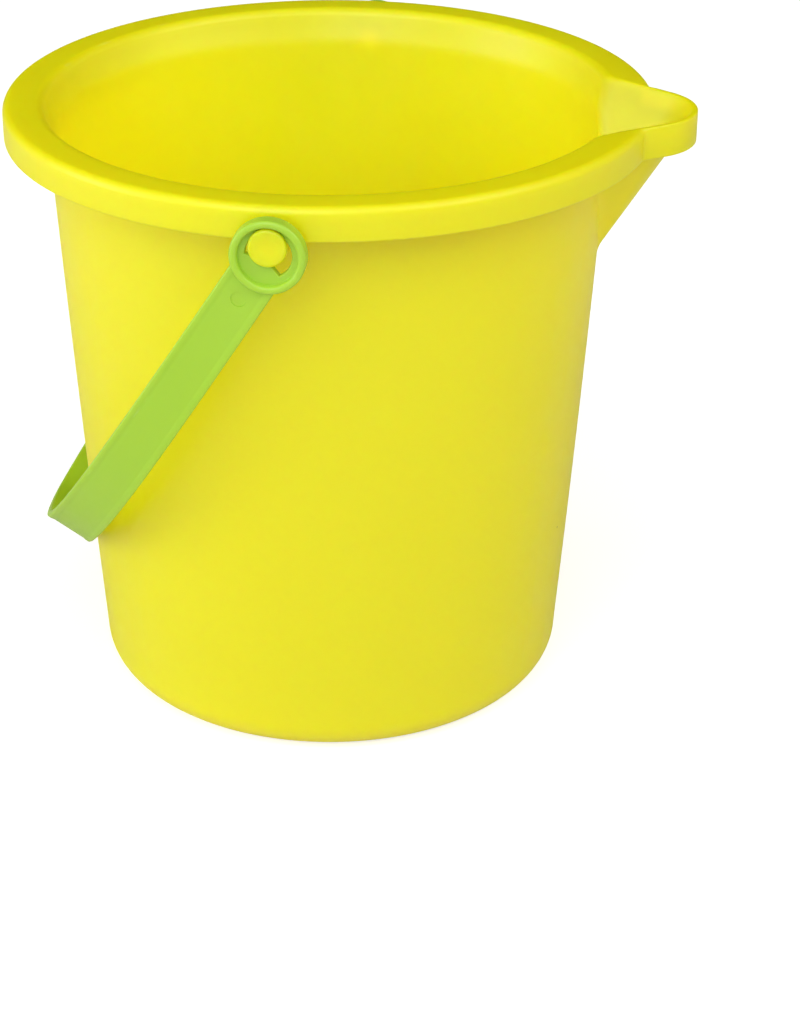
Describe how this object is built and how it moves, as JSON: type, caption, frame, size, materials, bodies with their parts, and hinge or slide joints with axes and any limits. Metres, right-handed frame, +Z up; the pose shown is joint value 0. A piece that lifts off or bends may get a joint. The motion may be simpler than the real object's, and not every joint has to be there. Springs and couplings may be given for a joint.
{
  "type": "sand bucket",
  "caption": "Tapered beach pail with a turned-down rim, a V-shaped pouring lip and a strap handle that swings on headed pins.",
  "frame": {"origin": "centre of the base, on the ground plane", "axes": "+Z up the bucket's axis, +X out over the pouring lip, the handle's pins along Y"},
  "size_m": [0.198, 0.198, 0.18],
  "materials": {
    "yellow_plastic": "satin, slightly translucent moulded polypropylene",
    "green_plastic": "satin moulded polypropylene"
  },
  "bodies": {
    "bucket": {"bucket": "yellow_plastic"},
    "handle": {"handle": "green_plastic"}
  },
  "joints": [
    {"name": "handle_swing", "type": "hinge", "parent": "bucket", "child": "handle", "pos_m": [0, 0, 0.1708], "axis": [0, 1, 0], "range_deg": [0, 295]}
  ]
}
